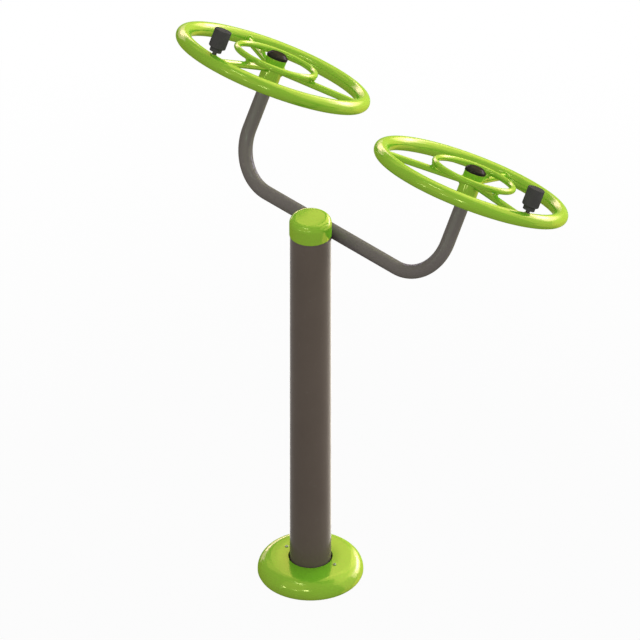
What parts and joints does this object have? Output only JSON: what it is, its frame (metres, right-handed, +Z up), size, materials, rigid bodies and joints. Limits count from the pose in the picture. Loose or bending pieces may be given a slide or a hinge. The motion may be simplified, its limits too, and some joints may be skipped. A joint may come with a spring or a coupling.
{
  "type": "tai chi spinner",
  "caption": "Outdoor exercise station with tilted hand wheels and turning knobs on a bent tube arm, carried by a capped round post with a domed base cover.",
  "frame": {"origin": "centre of the ground flange's underside, on the post's axis at the ground", "axes": "+Z up along the post; +X along the cross arm to the user's right; +Y the way the user faces, so the wheels lean towards -Y, where the user stands"},
  "size_m": [1.3628, 0.645, 1.6331],
  "materials": {
    "green_paint": "gloss",
    "brown_paint": "semi-gloss",
    "black_plastic": "satin",
    "black_gloss": "gloss",
    "zinc_steel": "zinc plated",
    "bearing_steel": "ground",
    "bronze": "plain sintered",
    "screw_steel": "stainless",
    "black_steel": "black oxide"
  },
  "bodies": {
    "stand": {"ground_flange": "zinc_steel", "flange_gusset_1": "zinc_steel", "flange_gusset_2": "zinc_steel", "flange_gusset_3": "zinc_steel", "flange_gusset_4": "zinc_steel", "cover_standoff_1": "zinc_steel", "cover_standoff_2": "zinc_steel", "base_cover": "green_paint", "post_cap": "green_paint", "cover_screw_1": "screw_steel", "cover_screw_2": "screw_steel", "post_tube": "brown_paint", "arm_saddle": "brown_paint", "arm_tube": "brown_paint", "right_spindle": "zinc_steel", "right_lower_inner_race": "bearing_steel", "right_upper_inner_race": "bearing_steel", "right_bearing_spacer": "zinc_steel", "right_spindle_washer": "zinc_steel", "right_spindle_nut": "zinc_steel", "left_spindle": "zinc_steel", "left_lower_inner_race": "bearing_steel", "left_upper_inner_race": "bearing_steel", "left_bearing_spacer": "zinc_steel", "left_spindle_washer": "zinc_steel", "left_spindle_nut": "zinc_steel"},
    "right_wheel": {"right_hub": "green_paint", "right_hub_cap": "black_gloss", "right_rim": "green_paint", "right_inner_ring": "green_paint", "right_spoke_1": "green_paint", "right_spoke_2": "green_paint", "right_spoke_3": "green_paint", "right_lower_outer_race": "bearing_steel", "right_upper_outer_race": "bearing_steel", "right_lower_ball_set": "bearing_steel", "right_upper_ball_set": "bearing_steel", "right_knob_pin": "black_steel"},
    "right_knob": {"right_knob_grip": "black_plastic", "right_knob_bush": "bronze", "right_knob_lid": "black_plastic"},
    "left_wheel": {"left_hub": "green_paint", "left_hub_cap": "black_gloss", "left_rim": "green_paint", "left_inner_ring": "green_paint", "left_spoke_1": "green_paint", "left_spoke_2": "green_paint", "left_spoke_3": "green_paint", "left_lower_outer_race": "bearing_steel", "left_upper_outer_race": "bearing_steel", "left_lower_ball_set": "bearing_steel", "left_upper_ball_set": "bearing_steel", "left_knob_pin": "black_steel"},
    "left_knob": {"left_knob_grip": "black_plastic", "left_knob_bush": "bronze", "left_knob_lid": "black_plastic"}
  },
  "joints": [
    {"name": "right_wheel_spin", "type": "hinge", "parent": "stand", "child": "right_wheel", "pos_m": [0.3917, -0.2433, 1.40421], "axis": [0, -0.5, 0.866], "continuous": true},
    {"name": "right_knob_spin", "type": "hinge", "parent": "right_wheel", "child": "right_knob", "pos_m": [0.40249, -0.01053, 1.53861], "axis": [0, -0.5, 0.866], "continuous": true},
    {"name": "left_wheel_spin", "type": "hinge", "parent": "stand", "child": "left_wheel", "pos_m": [-0.3917, -0.2433, 1.40421], "axis": [0, -0.5, 0.866], "continuous": true},
    {"name": "left_knob_spin", "type": "hinge", "parent": "left_wheel", "child": "left_knob", "pos_m": [-0.65432, -0.19288, 1.43332], "axis": [0, -0.5, 0.866], "continuous": true}
  ]
}
